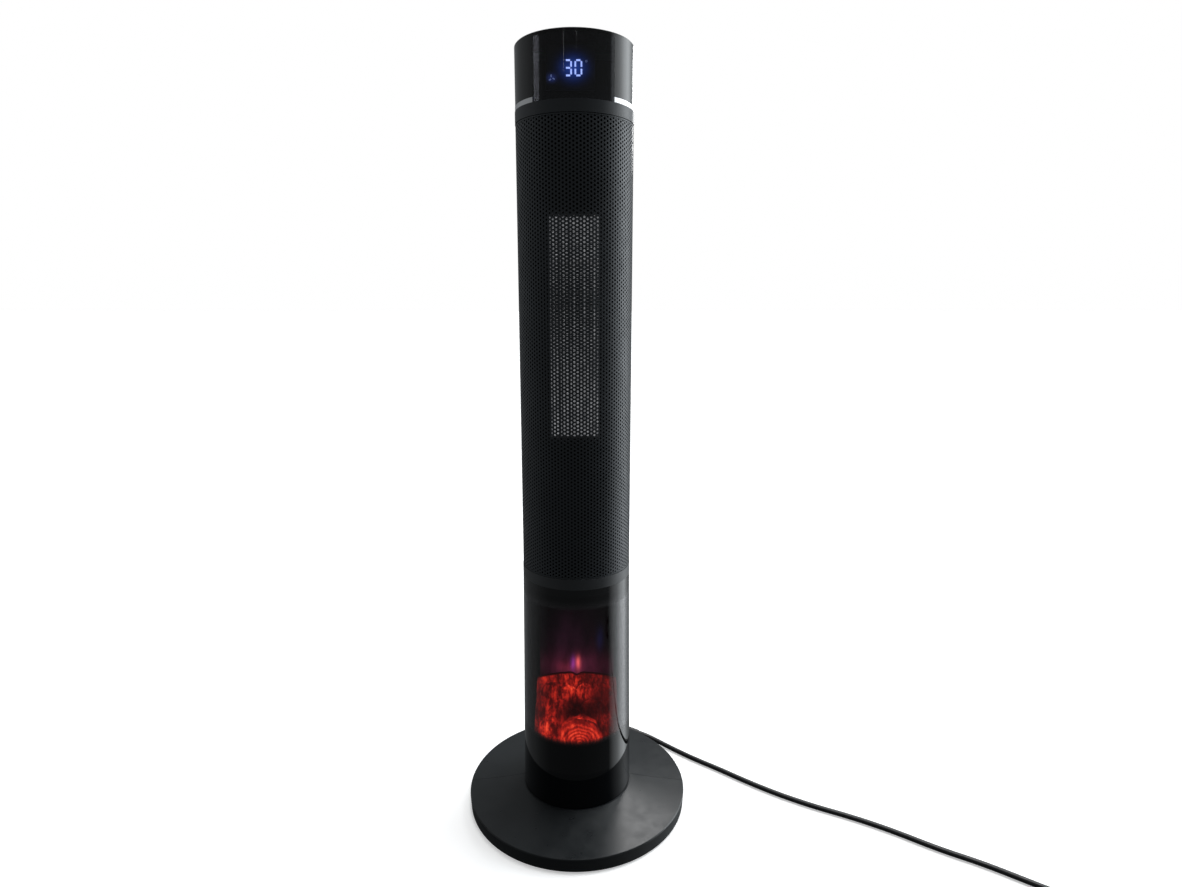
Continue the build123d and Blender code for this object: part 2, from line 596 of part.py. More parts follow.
def make_controls():
    dish = HEIGHT - 0.8
    top = spin([
        (0, CAP_Z), (HEAD_R, CAP_Z), (HEAD_R, dish), (HEAD_R - 0.8, HEIGHT),
        (HEAD_R - 3.6, HEIGHT), (HEAD_R - 4.6, dish), (0, dish),
    ])
    for x in BUTTON_X:
        top -= disc(BUTTON_R + 0.1, 900, 1000, x, BUTTON_Y)
    board_top = CAP_Z - 10.4
    for x in (-1.5 * BUTTON_PITCH, 1.5 * BUTTON_PITCH):
        top += disc(2.5, board_top, CAP_Z + 0.5, x, BUTTON_Y + 8)
    save("top_panel", top)

    switches = []
    for name, x in zip(BUTTON_NAMES, BUTTON_X):
        cap = disc(BUTTON_R, CAP_Z - 2.0, HEIGHT - 0.1, x, BUTTON_Y)
        cap = fillet(cap.edges().group_by(Axis.Z)[-1], 0.5)
        cap += disc(BUTTON_R + 1.6, CAP_Z - 2.0, CAP_Z - 0.1, x, BUTTON_Y)
        save("button_" + name, cap)
        switch = block(x - 3, x + 3, BUTTON_Y - 3, BUTTON_Y + 3, board_top, board_top + 4.0)
        switches.append(switch + disc(1.7, board_top + 4.0, CAP_Z - 3.4, x, BUTTON_Y))
    save("tact_switches", Compound(children=switches))
    board = block(-48, 48, BUTTON_Y - 12, BUTTON_Y + 12, board_top - 1.6, board_top)
    save("control_board", board)


def digit(pattern, x):
    """Seven flat bars; pattern holds the lit ones, by letter a to g."""
    half = DIGIT_H / 2
    wide = DIGIT_W / 2
    places = {
        "a": (0, DIGIT_H, True), "g": (0, half, True), "d": (0, 0, True),
        "b": (wide, 0.75 * DIGIT_H, False), "c": (wide, 0.25 * DIGIT_H, False),
        "f": (-wide, 0.75 * DIGIT_H, False), "e": (-wide, 0.25 * DIGIT_H, False),
    }
    bars = []
    for letter in pattern:
        dx, dz, flat = places[letter]
        length = (DIGIT_W if flat else half) - BAR_T - 0.3
        size = (length, BAR_T) if flat else (BAR_T, length)
        bars.append(lit_place(x + dx, DISPLAY_Z + dz) * Box(*size, BAR_DEPTH))
    return bars


def lit_place(x, z):
    """A place on the display module's face, looking out of it."""
    return Pos(x, DISPLAY_Y - BAR_DEPTH / 2, z) * Rot(90, 0, 0)


def make_display():
    save("display_module", block(-29.5, 24, DISPLAY_Y, DISPLAY_Y + 4.0, 916, 962))
    bars = digit("abgcd", DISPLAY_X - 5.6) + digit("abcdef", DISPLAY_X + 5.6)
    degree = Cylinder(1.3, BAR_DEPTH) - Cylinder(0.6, BAR_DEPTH)
    bars.append(lit_place(DISPLAY_X + 14.2, DISPLAY_Z + 14.4) * degree)
    for index in range(3):
        turn = Rot(0, 0, 90 + 120 * index)
        bars.append(lit_place(ICON_X, ICON_Z) * turn * Pos(2.3, 0.5, 0) * Box(2.6, 1.3, BAR_DEPTH))
    save("display_segments", Compound(children=bars))


make_base()
make_pivot()
make_tip_switch()
make_strain_relief()
make_cord()
make_plug()
make_lower_tower()
make_swing_drive()
make_flame()
make_electrics()
make_mid()
make_filter()
make_heater()
make_duct()
make_blower()
make_head()
make_controls()
make_display()
print("nodes", len(built))
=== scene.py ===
import bpy
import math
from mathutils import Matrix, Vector, noise


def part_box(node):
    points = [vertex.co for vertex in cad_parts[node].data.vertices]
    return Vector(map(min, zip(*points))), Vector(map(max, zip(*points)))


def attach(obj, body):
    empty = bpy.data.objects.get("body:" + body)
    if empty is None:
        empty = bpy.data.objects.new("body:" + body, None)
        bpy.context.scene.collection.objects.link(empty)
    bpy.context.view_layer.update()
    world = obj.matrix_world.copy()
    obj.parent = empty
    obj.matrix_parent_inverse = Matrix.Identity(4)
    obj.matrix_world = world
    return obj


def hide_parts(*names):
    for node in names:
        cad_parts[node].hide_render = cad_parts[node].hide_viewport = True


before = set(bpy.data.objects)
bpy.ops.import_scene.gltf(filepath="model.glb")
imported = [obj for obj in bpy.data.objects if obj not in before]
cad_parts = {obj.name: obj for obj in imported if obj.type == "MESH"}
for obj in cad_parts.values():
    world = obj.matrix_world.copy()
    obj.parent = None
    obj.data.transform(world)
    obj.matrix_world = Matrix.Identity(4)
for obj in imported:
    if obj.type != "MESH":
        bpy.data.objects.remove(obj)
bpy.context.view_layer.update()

# Metres, in the CAD frame: origin on the floor under the tower, +Z up, front -Y.
MM = 0.001


# ================================================================ camera, stage, lights
CAMERA_PLACE = (0.01955, -0.91116, 0.68615)
CAMERA_DIP = math.radians(11.084)       # below the horizon
CAMERA_LENS = 21.856                    # on a 36 mm sensor

FLOOR_Z = -0.0006                       # just under the rubber feet
FLOOR_GREY = 0.86
FLOOR_GLOW = 0.42

# Brightness of the surroundings by heading: degrees from the front, towards +X.
WALLS = [
    (-180, 0.05), (-150, 0.06), (-100, 0.07), (-60, 0.03), (0, 0.03), (73, 0.04), (87, 0.42),
    (98, 0.62), (110, 1.0), (124, 1.0), (138, 0.34), (152, 0.10), (180, 0.05),
]
WALL_TINT = (0.92, 0.97, 1.0)
# Strength of the surroundings, from the first height of the ray's direction to the second.
WALL_HEIGHTS = (-0.50, 0.10)
WALL_STRENGTHS = (1.9, 3.8)


def make_camera():
    data = bpy.data.cameras.new("camera")
    data.sensor_width = 36.0
    data.lens = CAMERA_LENS
    cam = bpy.data.objects.new("camera", data)
    cam.location = CAMERA_PLACE
    cam.rotation_euler = (math.radians(90.0) - CAMERA_DIP, 0.0, 0.0)
    bpy.context.collection.objects.link(cam)
    bpy.context.scene.camera = cam


def area_light(name, place, target, size_x, size_y, watts):
    """Rectangular lamp aimed at a target, hidden from the camera itself."""
    data = bpy.data.lights.new(name, "AREA")
    data.shape = "RECTANGLE"
    data.size = size_x
    data.size_y = size_y
    data.energy = watts
    lamp = bpy.data.objects.new(name, data)
    lamp.location = place
    aim = Vector(target) - Vector(place)
    lamp.rotation_euler = aim.to_track_quat("-Z", "Y").to_euler()
    lamp.visible_camera = False
    bpy.context.collection.objects.link(lamp)
    return lamp


def make_stage():
    """Pale floor seen only by the camera, soft light from above, and lamps for the highlights."""
    floor = mesh_object("stage_floor", *floor_plane(60.0, FLOOR_Z))
    material = new_material("stage_floor_paint")
    shader = material.node_tree.nodes["Principled BSDF"]
    shader.inputs["Base Color"].default_value = (FLOOR_GREY, FLOOR_GREY, FLOOR_GREY, 1)
    shader.inputs["Roughness"].default_value = 0.9
    shader.inputs["Specular IOR Level"].default_value = 0.1
    shader.inputs["Emission Color"].default_value = (1.0, 1.0, 1.0, 1)
    shader.inputs["Emission Strength"].default_value = FLOOR_GLOW
    floor.data.materials.append(material)
    floor.visible_glossy = False
    floor.visible_diffuse = False
    floor.visible_transmission = False

    make_world()
    bpy.context.scene.view_settings.view_transform = "Standard"

    sun = bpy.data.lights.new("overhead_soft", "SUN")
    sun.energy = 1.4
    sun.angle = math.radians(16)
    lamp = bpy.data.objects.new("overhead_soft", sun)
    lamp.rotation_euler = (math.radians(-6), math.radians(5), 0)
    bpy.context.collection.objects.link(lamp)

    area_light("head_streak", (-0.46, -1.40, 1.50), (0, 0, 0.94), 0.02, 0.30, 0.03)
    area_light("head_streak_thin", (0.12, -1.42, 1.54), (0, 0, 0.94), 0.010, 0.30, 0.015)
    fill = area_light("left_fill", (-1.3, -0.25, 1.35), (0, 0, 0.92), 0.5, 0.5, 2.0)
    fill.visible_glossy = False
    area_light("rear_soft", (0.30, 0.95, 1.15), (0.06, -0.075, 0.027), 0.32, 0.32, 3.0)


def make_world():
    """Surroundings for reflections: dim in front, a bright wall on the right; pale paper as backdrop."""
    world = bpy.data.worlds.new("studio")
    world.use_nodes = True
    tree = world.node_tree
    place = tree.nodes.new("ShaderNodeTexCoord")
    parts = tree.nodes.new("ShaderNodeSeparateXYZ")
    tree.links.new(place.outputs["Generated"], parts.inputs[0])

    front = tree.nodes.new("ShaderNodeMath")
    front.operation = "MULTIPLY"
    front.inputs[1].default_value = -1.0
    tree.links.new(parts.outputs["Y"], front.inputs[0])
    heading = tree.nodes.new("ShaderNodeMath")
    heading.operation = "ARCTAN2"
    tree.links.new(parts.outputs["X"], heading.inputs[0])
    tree.links.new(front.outputs[0], heading.inputs[1])
    share = tree.nodes.new("ShaderNodeMapRange")
    share.inputs["From Min"].default_value = -math.pi
    share.inputs["From Max"].default_value = math.pi
    tree.links.new(heading.outputs[0], share.inputs["Value"])

    ramp = tree.nodes.new("ShaderNodeValToRGB")
    stops = ramp.color_ramp.elements
    while len(stops) < len(WALLS):
        stops.new(0.5)
    for stop, (degrees, light) in zip(stops, WALLS):
        stop.position = (degrees + 180) / 360
        stop.color = (*[light * tint for tint in WALL_TINT], 1)
    tree.links.new(share.outputs[0], ramp.inputs[0])
    room = tree.nodes["Background"]
    tree.links.new(ramp.outputs[0], room.inputs["Color"])

    lift = tree.nodes.new("ShaderNodeMapRange")
    lift.inputs["From Min"].default_value = WALL_HEIGHTS[0]
    lift.inputs["From Max"].default_value = WALL_HEIGHTS[1]
    lift.inputs["To Min"].default_value = WALL_STRENGTHS[0]
    lift.inputs["To Max"].default_value = WALL_STRENGTHS[1]
    tree.links.new(parts.outputs["Z"], lift.inputs["Value"])
    tree.links.new(lift.outputs[0], room.inputs["Strength"])

    paper = tree.nodes.new("ShaderNodeBackground")
    paper.inputs["Color"].default_value = (1.0, 1.0, 1.0, 1)
    rays = tree.nodes.new("ShaderNodeLightPath")
    mix = tree.nodes.new("ShaderNodeMixShader")
    tree.links.new(rays.outputs["Is Camera Ray"], mix.inputs[0])
    tree.links.new(room.outputs[0], mix.inputs[1])
    tree.links.new(paper.outputs[0], mix.inputs[2])
    tree.links.new(mix.outputs[0], tree.nodes["World Output"].inputs["Surface"])
    bpy.context.scene.world = world


# ================================================================ mesh helpers
def mesh_object(name, points, faces, smooth=False):
    data = bpy.data.meshes.new(name)
    data.from_pydata([tuple(p) for p in points], [], faces)
    data.validate()
    data.update()
    if smooth:
        data.shade_smooth()
    thing = bpy.data.objects.new(name, data)
    bpy.context.collection.objects.link(thing)
    return thing


def floor_plane(half, z):
    points = [(-half, -half, z), (half, -half, z), (half, half, z), (-half, half, z)]
    return points, [(0, 1, 2, 3)]


def box_mesh(boxes):
    """Points and faces of several boxes, each (x0, x1, y0, y1, z0, z1)."""
    points = []
    faces = []
    for x0, x1, y0, y1, z0, z1 in boxes:
        base = len(points)
        points += [(x, y, z) for z in (z0, z1) for y in (y0, y1) for x in (x0, x1)]
        for quad in ((0, 2, 3, 1), (4, 5, 7, 6), (0, 1, 5, 4), (2, 6, 7, 3), (0, 4, 6, 2), (1, 3, 7, 5)):
            faces.append(tuple(base + corner for corner in quad))
    return points, faces


def around(radius, angle, z):
    """Point at an angle from the front (-Y) towards +X, in radians."""
    return (radius * math.sin(angle), -radius * math.cos(angle), z)


# ================================================================ node materials
class Net:
    """A material's node tree, with one short call per node."""

    def __init__(self, name):
        self.material = new_material(name)
        self.tree = self.material.node_tree
        self.shader = self.tree.nodes["Principled BSDF"]
        self.place = self.node("ShaderNodeTexCoord").outputs["Object"]

    def node(self, kind, **settings):
        made = self.tree.nodes.new(kind)
        for key, value in settings.items():
            setattr(made, key, value)
        return made

    def link(self, out, into):
        self.tree.links.new(out, into)

    def set(self, **values):
        for key, value in values.items():
            self.shader.inputs[key.replace("_", " ")].default_value = value

    def noise(self, scale, detail=3.0, rough=0.5, stretch=None):
        made = self.node("ShaderNodeTexNoise")
        made.inputs["Scale"].default_value = scale
        made.inputs["Detail"].default_value = detail
        made.inputs["Roughness"].default_value = rough
        source = self.place
        if stretch:
            mapping = self.node("ShaderNodeMapping")
            mapping.inputs["Scale"].default_value = stretch
            self.link(source, mapping.inputs["Vector"])
            source = mapping.outputs["Vector"]
        self.link(source, made.inputs["Vector"])
        return made.outputs["Fac"]

    def span(self, value, low, high, start=0.3, end=0.7):
        made = self.node("ShaderNodeMapRange")
        made.inputs["From Min"].default_value = start
        made.inputs["From Max"].default_value = end
        made.inputs["To Min"].default_value = low
        made.inputs["To Max"].default_value = high
        self.link(value, made.inputs["Value"])
        return made.outputs["Result"]

    def ramp(self, value, stops):
        made = self.node("ShaderNodeValToRGB")
        band = made.color_ramp
        while len(band.elements) < len(stops):
            band.elements.new(0.5)
        for element, (position, colour) in zip(band.elements, stops):
            element.position = position
            element.color = (*colour, 1)
        self.link(value, made.inputs["Fac"])
        return made.outputs["Color"]

    def math(self, operation, first, second=None):
        made = self.node("ShaderNodeMath", operation=operation)
        for socket, value in zip(made.inputs, (first, second)):
            if value is None:
                continue
            if isinstance(value, (int, float)):
                socket.default_value = value
            else:
                self.link(value, socket)
        return made.outputs["Value"]

    def bump(self, height, strength, distance):
        made = self.node("ShaderNodeBump")
        made.inputs["Strength"].default_value = strength
        made.inputs["Distance"].default_value = distance
        self.link(height, made.inputs["Height"])
        self.link(made.outputs["Normal"], self.shader.inputs["Normal"])

    def add(self, first, second):
        made = self.node("ShaderNodeMix")
        made.data_type = "RGBA"
        made.blend_type = "ADD"
        made.inputs[0].default_value = 1.0
        self.link(first, made.inputs[6])
        self.link(second, made.inputs[7])
        return made.outputs[2]

    def blob(self, parts, x, z, wide, tall):
        """A soft spot seen from the front, 1 in its middle."""
        across = self.math("DIVIDE", self.math("SUBTRACT", parts["X"], x), wide)
        up = self.math("DIVIDE", self.math("SUBTRACT", parts["Z"], z), tall)
        reach = self.math("ADD", self.math("MULTIPLY", across, across), self.math("MULTIPLY", up, up))
        return self.math("EXPONENT", self.math("MULTIPLY", reach, -1.0))

    def split(self):
        made = self.node("ShaderNodeSeparateXYZ")
        self.link(self.place, made.inputs["Vector"])
        return made.outputs


def new_material(name):
    material = bpy.data.materials.new(name)
    material.use_nodes = True
    return material


def moulded(name, colour, rough, spread=0.06, grain=900.0, depth=0.00004, tone=0.12, **extra):
    """Moulded plastic: fine grain, slight tone drift and uneven gloss."""
    net = Net(name)
    drift = net.noise(14.0, 4.0)
    dark = [c * (1 - tone) for c in colour]
    light = [c * (1 + tone) for c in colour]
    net.link(net.ramp(drift, [(0.35, dark), (0.65, light)]), net.shader.inputs["Base Color"])
    haze = net.noise(60.0, 5.0, 0.6)
    net.link(net.span(haze, rough - spread, rough + spread), net.shader.inputs["Roughness"])
    net.bump(net.noise(grain, 2.0), 0.35, depth)
    net.set(**extra)
    return net.material


def glossy(name, colour, rough):
    """Piano-black plastic with faint orange peel and dust."""
    net = Net(name)
    drift = net.noise(9.0, 3.0)
    light = [c * 1.35 + 0.0015 for c in colour]
    net.link(net.ramp(drift, [(0.3, colour), (0.75, light)]), net.shader.inputs["Base Color"])
    smear = net.noise(35.0, 6.0, 0.65, (1, 1, 0.35))
    net.link(net.span(smear, rough * 0.6, rough * 1.8, 0.3, 0.8), net.shader.inputs["Roughness"])
    net.bump(net.noise(120.0, 2.0), 0.08, 0.00003)
    return net.material


def brushed(name, colour, rough, along=(1, 1, 60)):
    """Metal with fine lines: the stretch is large across the lines."""
    net = Net(name)
    lines = net.noise(40.0, 6.0, 0.7, along)
    dark = [c * 0.82 for c in colour]
    net.link(net.ramp(lines, [(0.3, dark), (0.7, colour)]), net.shader.inputs["Base Color"])
    net.link(net.span(lines, rough * 0.75, rough * 1.3), net.shader.inputs["Roughness"])
    net.bump(lines, 0.25, 0.00002)
    net.set(Metallic=1.0)
    return net.material


def smoked(name, tint, rough):
    """Tinted see-through plastic with faint smears."""
    net = Net(name)
    smear = net.noise(28.0, 5.0, 0.6, (1, 1, 0.4))
    net.link(net.span(smear, rough * 0.6, rough * 1.6, 0.3, 0.8), net.shader.inputs["Roughness"])
    lighter = [c * 1.08 for c in tint]
    net.link(net.ramp(net.noise(7.0), [(0.3, tint), (0.7, lighter)]), net.shader.inputs["Base Color"])
    net.set(Transmission_Weight=1.0, IOR=1.49)
    return net.material


# Heights on the front shell.
FOOT_TOP = 0.0790                   # the darkest part, at the foot, ends here
CLEAR_FROM = (0.1170, 0.1290)       # the clear part fades in
CLEAR_TO = (0.3080, 0.3280)         # and fades out
BACKING_TOP = 0.3290                # the black backing has its lightest tone by here


def window_material():
    """Front shell: clear smoke in front of the embers, backed in black above and below them."""
    net = Net("smoked_window")
    height = net.split()["Z"]
    above = net.span(height, 0.0, 1.0, *CLEAR_FROM)
    below = net.span(height, 1.0, 0.0, *CLEAR_TO)
    clear = net.math("MULTIPLY", above, below)
    net.link(clear, net.shader.inputs["Transmission Weight"])
    backing = net.ramp(net.span(height, 0.0, 1.0, FOOT_TOP, BACKING_TOP), [
        (0.0, (0.0012, 0.0018, 0.0028)), (0.006, (0.0062, 0.0064, 0.0070)),
        (0.90, (0.0062, 0.0064, 0.0070)), (0.97, (0.0170, 0.0170, 0.0180)),
    ])
    mixed = net.node("ShaderNodeMix")
    mixed.data_type = "RGBA"
    net.link(net.math("POWER", clear, 4.0), mixed.inputs[0])
    net.link(backing, mixed.inputs[6])
    smoke = net.ramp(net.noise(7.0), [(0.3, (0.35, 0.34, 0.355)), (0.7, (0.38, 0.37, 0.385))])
    net.link(smoke, mixed.inputs[7])
    net.link(mixed.outputs[2], net.shader.inputs["Base Color"])
    smear = net.noise(28.0, 5.0, 0.6, (1, 1, 0.4))
    net.link(net.span(smear, 0.012, 0.034, 0.3, 0.8), net.shader.inputs["Roughness"])
    net.bump(net.noise(26.0, 2.0, 0.5, (1, 1, 0.25)), 0.05, 0.0002)
    net.set(IOR=1.49)
    return net.material


# ================================================================ cord
# All in millimetres: the free run from the strain relief along the floor, then the coil.
CORD_R = 3.5
CORD_RUN = [
    (95.0, 130.0, 9.5), (110.0, 125.2, 6.6), (126.5, 113.5, 4.4), (148.0, 95.0, CORD_R),
    (177.0, 70.5, CORD_R), (210.0, 46.5, CORD_R), (246.0, 17.5, CORD_R), (284.0, -9.5, CORD_R),
    (326.0, -34.0, CORD_R), (372.0, -55.5, CORD_R), (418.0, -82.0, CORD_R), (462.0, -113.5, CORD_R),
    (508.0, -139.0, CORD_R), (551.0, -170.0, CORD_R), (594.6, -199.8, CORD_R),
]
COIL_CENTRE = (606.0, -256.0)
COIL_OUTER = 41.1           # radius of the outer turn in each layer
COIL_INNER = 34.1
COIL_TURNS = 4.05           # two turns to a layer
COIL_START = math.radians(58.0)
LAYER_STEP = 6.9
TURN_STEPS = 16             # curve points in one turn
TAIL_BEND = 14.0            # radius of the last loop into the plug


def make_cord():
    """Mains lead: free run on the floor, wound coil out of view, tail up to the plug."""
    points = CORD_RUN + coil_points()
    low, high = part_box("plug")
    nose = (low[0] / MM, (low[1] + high[1]) / 2 / MM, (low[2] + high[2]) / 2 / MM)
    points += tail_points(points[-1], COIL_CENTRE, nose)

    data = bpy.data.curves.new("mains_cord", "CURVE")
    data.dimensions = "3D"
    data.bevel_depth = CORD_R * MM
    data.bevel_resolution = 5
    data.resolution_u = 6
    data.use_fill_caps = True
    spline = data.splines.new("NURBS")
    spline.points.add(len(points) - 1)
    for point, (x, y, z) in zip(spline.points, points):
        point.co = (x * MM, y * MM, z * MM, 1)
    spline.order_u = 3
    spline.use_endpoint_u = True
    cord = bpy.data.objects.new("mains_cord", data)
    bpy.context.collection.objects.link(cord)
    skin = moulded("cord_skin", (0.010, 0.010, 0.011), 0.42, 0.08, 700.0, 0.00003)
    cord.data.materials.append(skin)
    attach(cord, "base")
    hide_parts("cord", "cord_coil")


def smooth_step(share):
    share = min(max(share, 0.0), 1.0)
    return share * share * (3 - 2 * share)


def on_circle(centre, radius, angle, height):
    return (centre[0] + radius * math.cos(angle), centre[1] + radius * math.sin(angle), height)


def coil_points():
    """Clockwise turns: outer then inner in one layer, inner then outer in the next."""
    points = []
    for index in range(int(COIL_TURNS * TURN_STEPS) + 1):
        turn = index / TURN_STEPS
        layer = int(turn / 2)
        share = smooth_step((turn - 2 * layer - 0.85) / 0.3)
        first, second = (COIL_OUTER, COIL_INNER) if layer % 2 == 0 else (COIL_INNER, COIL_OUTER)
        radius = first + (second - first) * share
        climb = smooth_step((turn - 1.85) / 0.3) + smooth_step((turn - 3.85) / 0.3)
        angle = COIL_START - 2 * math.pi * turn
        points.append(on_circle(COIL_CENTRE, radius, angle, CORD_R + LAYER_STEP * climb))
    return points


def tail_points(last, centre, nose):
    """From the coil's top turn, out round a small loop and into the plug's nose."""
    x0, y0, z0 = last
    radius = math.hypot(x0 - centre[0], y0 - centre[1])
    begin = math.atan2(y0 - centre[1], x0 - centre[0])
    leave = math.pi + math.asin((centre[1] - nose[1] - TAIL_BEND) / (radius + TAIL_BEND))
    sweep = (leave - begin) % (-2 * math.pi)
    round_steps = 9
    points = []
    for index in range(1, round_steps + 1):
        points.append(on_circle(centre, radius, begin + sweep * index / round_steps, z0))
    loop = on_circle(centre, radius + TAIL_BEND, leave, z0)
    loop_start, loop_end = leave - math.pi, 1.5 * math.pi
    loop_steps = 10
    for index in range(1, loop_steps + 1):
        share = index / loop_steps
        height = z0 + (nose[2] - z0) * smooth_step(share)
        angle = loop_start + (loop_end - loop_start) * share
        points.append(on_circle(loop, TAIL_BEND, angle, height))
    return points + [((loop[0] + nose[0]) / 2, nose[1], nose[2]), nose]


# ================================================================ perforated mesh
MESH_R = 0.0698
MESH_THICK = 0.0008
MESH_HALF = math.radians(87.9)      # the sheet reaches this far round, left and right of the front
MESH_INSET = 0.0004
HOLE_PITCH = 0.0046
HOLE_R = 0.00148
HOLE_MARGIN = 0.0006
RIM_WIDE = 0.0016
SIDE_RIM_WIDE = 0.0022
# Painted shade: a black sheet just behind the punched sheet's sides stands in for the shade inside the
# tower. These set its gap and its reach round, left and right.
SHADE_SHEET_GAP = 0.0002
SHADE_SHEET_FROM, SHADE_SHEET_TO = math.radians(38.0), math.radians(72.0)


def make_mesh_grille():
    """Punched sheet with plain edges, and a black sheet behind its two sides as painted shade."""
    low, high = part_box("mesh_grille")
    z0, z1 = low[2] + MESH_INSET, high[2] - MESH_INSET
    sheet = mesh_object("mesh_sheet", *mesh_holes(z0, z1))
    rim = mesh_object("mesh_rim", *mesh_rim(z0, z1))
    shade_sheet = mesh_object("mesh_painted_shade_sheet", *side_shade_sheet(z0, z1))
    coat = moulded("mesh_coat", (0.042, 0.047, 0.053), 0.40, 0.06, 500.0, 0.00003, Metallic=0.25)
    # Painted shade: matt black for the sheet behind the punched sides.
    shade_black = moulded("painted_shade_black", (0.006, 0.0065, 0.007), 0.9, 0.05, 2500.0, 0.0002)
    for piece, material in ((sheet, coat), (rim, coat), (shade_sheet, shade_black)):
        piece.data.materials.append(material)
        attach(piece, "tower")
        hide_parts("mesh_grille")


def mesh_holes(z0, z1):
    """Staggered six-sided holes, which read as round, with the sheet's thickness inside each."""
    column = HOLE_PITCH * math.sqrt(3) / 2
    columns = int(2 * MESH_HALF * MESH_R / column)
    step = 2 * MESH_HALF / columns
    rows = int((z1 - z0) / HOLE_PITCH)
    margin = ((z1 - z0) - rows * HOLE_PITCH) / 2
    cell = HOLE_PITCH / math.sqrt(3)
    points = []
    faces = []
    lookup = {}

    def corner(angle, z, depth=0.0):
        key = (round(angle, 6), round(z, 6), depth)
        if key not in lookup:
            lookup[key] = len(points)
            points.append(around(MESH_R - depth, angle, min(max(z, z0), z1)))
        return lookup[key]

    for c in range(columns):
        middle = -MESH_HALF + (c + 0.5) * step
        shift = 0.5 if c % 2 else 0.0
        for r in range(rows + 1):
            z = z0 + margin + (r + shift) * HOLE_PITCH
            if z - HOLE_R < z0 + HOLE_MARGIN or z + HOLE_R > z1 - HOLE_MARGIN:
                continue
            ring_out = []
            ring_in = []
            ring_deep = []
            for k in range(6):
                side, up = math.cos(math.radians(60 * k)), math.sin(math.radians(60 * k))
                ring_out.append(corner(middle + cell * side / column * step, z + cell * up))
                angle = middle + HOLE_R * side / column * step
                ring_in.append(corner(angle, z + HOLE_R * up))
                ring_deep.append(corner(angle, z + HOLE_R * up, MESH_THICK))
            for k in range(6):
                n = (k + 1) % 6
                faces.append((ring_out[k], ring_out[n], ring_in[n], ring_in[k]))
                faces.append((ring_in[k], ring_in[n], ring_deep[n], ring_deep[k]))
    return points, faces


def mesh_rim(z0, z1):
    """Plain unpunched strips along the sheet's four edges."""
    points = []
    faces = []
    outside = MESH_R + 0.00002

    def strip(a0, a1, b0, b1, count):
        base = len(points)
        for index in range(count + 1):
            angle = a0 + (a1 - a0) * index / count
            for depth, z in ((0, b0), (0, b1), (MESH_THICK, b1), (MESH_THICK, b0)):
                points.append(around(outside - depth, angle, z))
        for index in range(count):
            for k in range(4):
                n = (k + 1) % 4
                i = base + 4 * index
                faces.append((i + k, i + 4 + k, i + 4 + n, i + n))
        faces.append(tuple(base + k for k in (0, 1, 2, 3)))
        faces.append(tuple(base + 4 * count + k for k in (3, 2, 1, 0)))

    strip(-MESH_HALF, MESH_HALF, z0, z0 + RIM_WIDE, 64)
    strip(-MESH_HALF, MESH_HALF, z1 - RIM_WIDE, z1, 64)
    edge = SIDE_RIM_WIDE / MESH_R
    strip(-MESH_HALF, -MESH_HALF + edge, z0 + RIM_WIDE, z1 - RIM_WIDE, 2)
    strip(MESH_HALF - edge, MESH_HALF, z0 + RIM_WIDE, z1 - RIM_WIDE, 2)
    return points, faces


def side_shade_sheet(z0, z1):
    """Black sheet behind the punched sheet, left and right of the opening for the warm air: painted
    shade standing in for the shaded inside of the tower.
    """
    radius = MESH_R - MESH_THICK - SHADE_SHEET_GAP
    points = []
    faces = []
    steps = 12
    for side in (-1, 1):
        for index in range(steps + 1):
            angle = side * (SHADE_SHEET_FROM + (SHADE_SHEET_TO - SHADE_SHEET_FROM) * index / steps)
            base = len(points)
            points += [around(radius, angle, z0), around(radius, angle, z1)]
            if index:
                faces.append((base - 2, base, base + 1, base - 1))
    return points, faces


# ================================================================ heating element
CELL_COLUMNS = 5
CELL_PITCH = 0.0118
CELL_HALF = 0.0008          # half the width of the ceramic strip inside a column
FIN_HALF = 0.0050
FIN_PITCH = 0.0021
FIN_THICK = 0.0005
FIN_WAVE = 0.00035          # how unevenly the fins' front edges stand


def make_heater_core():
    """Columns of close aluminium fins between the upright strips."""
    low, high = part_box("ceramic_core")
    boxes = []
    count = int((high[2] - low[2]) / FIN_PITCH)
    for column in range(CELL_COLUMNS):
        middle = CELL_PITCH * (column - CELL_COLUMNS // 2)
        left, right = middle - FIN_HALF, middle + FIN_HALF
        boxes.append((middle - CELL_HALF, middle + CELL_HALF, low[1] + 0.0015, high[1], low[2], high[2]))
        for index in range(count):
            z = low[2] + FIN_PITCH * (index + 0.25)
            face = low[1] + 0.0002 + FIN_WAVE * math.sin(index * 1.7 + column)
            boxes.append((left, right, face, high[1], z, z + FIN_THICK))
    fins = mesh_object("heater_fins", *box_mesh(boxes))
    fins.data.materials.append(fin_material())
    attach(fins, "tower")
    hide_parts("ceramic_core")


def fin_material():
    """Bare aluminium fins, dull with heat, with a painted glow standing in for the light inside the
    duct.
    """
    net = Net("fin_metal_painted_glow")
    lines = net.noise(90.0, 7.0, 0.72, (2.6, 1, 0.8))
    shade = net.ramp(lines, [(0.35, (0.35, 0.36, 0.38)), (0.65, (0.80, 0.81, 0.83))])
    net.link(shade, net.shader.inputs["Base Color"])
    # Painted glow: the fins give off light of their own, in place of light falling on them inside the
    # duct.
    glow = net.ramp(lines, [(0.4, (0.25, 0.26, 0.28)), (0.7, (1.0, 1.0, 1.0))])
    net.link(glow, net.shader.inputs["Emission Color"])
    net.link(net.span(lines, 0.35, 0.6), net.shader.inputs["Roughness"])
    net.set(Metallic=0.4, Emission_Strength=0.17)
    return net.material


